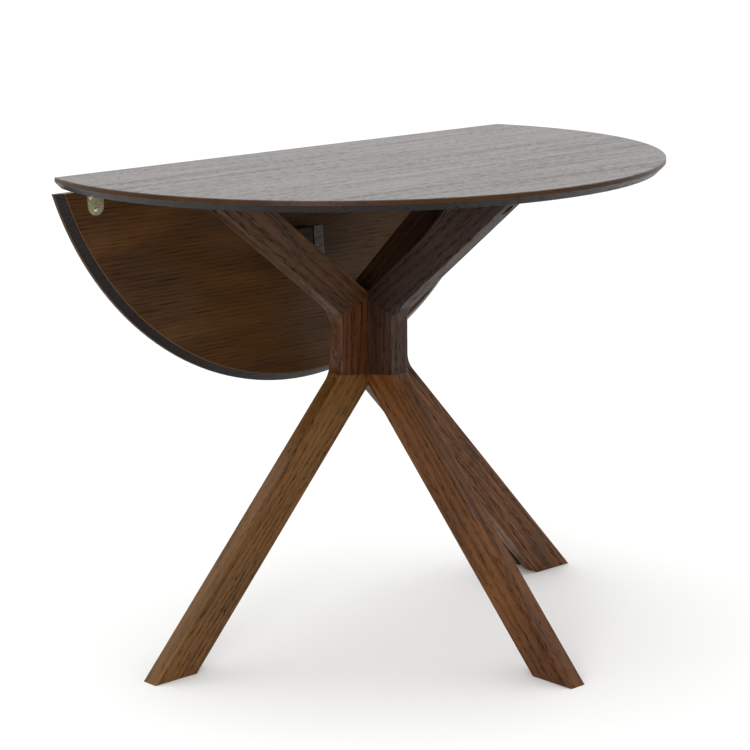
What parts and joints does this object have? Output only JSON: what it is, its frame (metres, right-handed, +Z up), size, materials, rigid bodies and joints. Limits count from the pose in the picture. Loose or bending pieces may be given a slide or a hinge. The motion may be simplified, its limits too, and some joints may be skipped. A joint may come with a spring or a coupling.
{
  "type": "drop_leaf_table",
  "caption": "Round drop leaf table: mitred plank legs meet in a post under a bevelled top; the leaf hangs on flap hinges beside a folded gate leg",
  "frame": {"origin": "on the floor under the middle of the standing table's footprint, its leaf hanging", "axes": "+X runs along the joint between the fixed top and the leaf, +Y points to the leaf side, +Z is up"},
  "size_m": [0.99, 0.647, 0.76],
  "materials": {
    "stained_top": "satin lacquer",
    "stained_oak": "satin lacquer",
    "dowel_beech": "raw",
    "dark_block": "dark stain",
    "yellow_zinc": "yellow passivated zinc",
    "zinc_screw": "bright zinc",
    "brass_screw": "plain",
    "grey_steel": "plain"
  },
  "bodies": {
    "table_frame": {"fixed_top": "stained_top", "front_left_upper_arm": "stained_oak", "front_left_post": "stained_oak", "front_left_lower_leg": "stained_oak", "front_right_upper_arm": "stained_oak", "front_right_post": "stained_oak", "front_right_lower_leg": "stained_oak", "back_right_upper_arm": "stained_oak", "back_right_post": "stained_oak", "back_right_lower_leg": "stained_oak", "front_left_dowels": "dowel_beech", "front_right_dowels": "dowel_beech", "back_right_dowels": "dowel_beech", "post_plugs": "stained_oak", "post_screws": "zinc_screw", "front_leg_screws": "zinc_screw", "arm_screws": "zinc_screw", "left_hinge_top_flap": "yellow_zinc", "right_hinge_top_flap": "yellow_zinc", "left_hinge_pin": "yellow_zinc", "right_hinge_pin": "yellow_zinc", "top_hinge_screws": "zinc_screw", "lower_gate_hinge_post_flap": "yellow_zinc", "upper_gate_hinge_post_flap": "yellow_zinc", "lower_gate_hinge_pin": "yellow_zinc", "upper_gate_hinge_pin": "yellow_zinc", "post_gate_hinge_screws": "zinc_screw"},
    "drop_leaf": {"leaf_panel": "stained_top", "left_hinge_leaf_flap": "yellow_zinc", "right_hinge_leaf_flap": "yellow_zinc", "leaf_hinge_screws": "zinc_screw", "catch_block": "dark_block", "catch_plate": "grey_steel", "catch_block_screws": "zinc_screw", "catch_plate_screws": "brass_screw"},
    "gate_leg": {"gate_upper_arm": "stained_oak", "gate_post": "stained_oak", "gate_lower_leg": "stained_oak", "gate_dowels": "dowel_beech", "lower_gate_hinge_gate_flap": "yellow_zinc", "upper_gate_hinge_gate_flap": "yellow_zinc", "gate_hinge_screws": "zinc_screw"}
  },
  "joints": [
    {"name": "leaf_hinge", "type": "hinge", "parent": "table_frame", "child": "drop_leaf", "pos_m": [0, 0.30599, 0.742], "axis": [1, 0, 0], "range_deg": [-6, 93.4]},
    {"name": "gate_swing", "type": "hinge", "parent": "table_frame", "child": "gate_leg", "pos_m": [-0.004, 0.15449, 0.478], "axis": [0, 0, 1], "range_deg": [0, 19]}
  ]
}
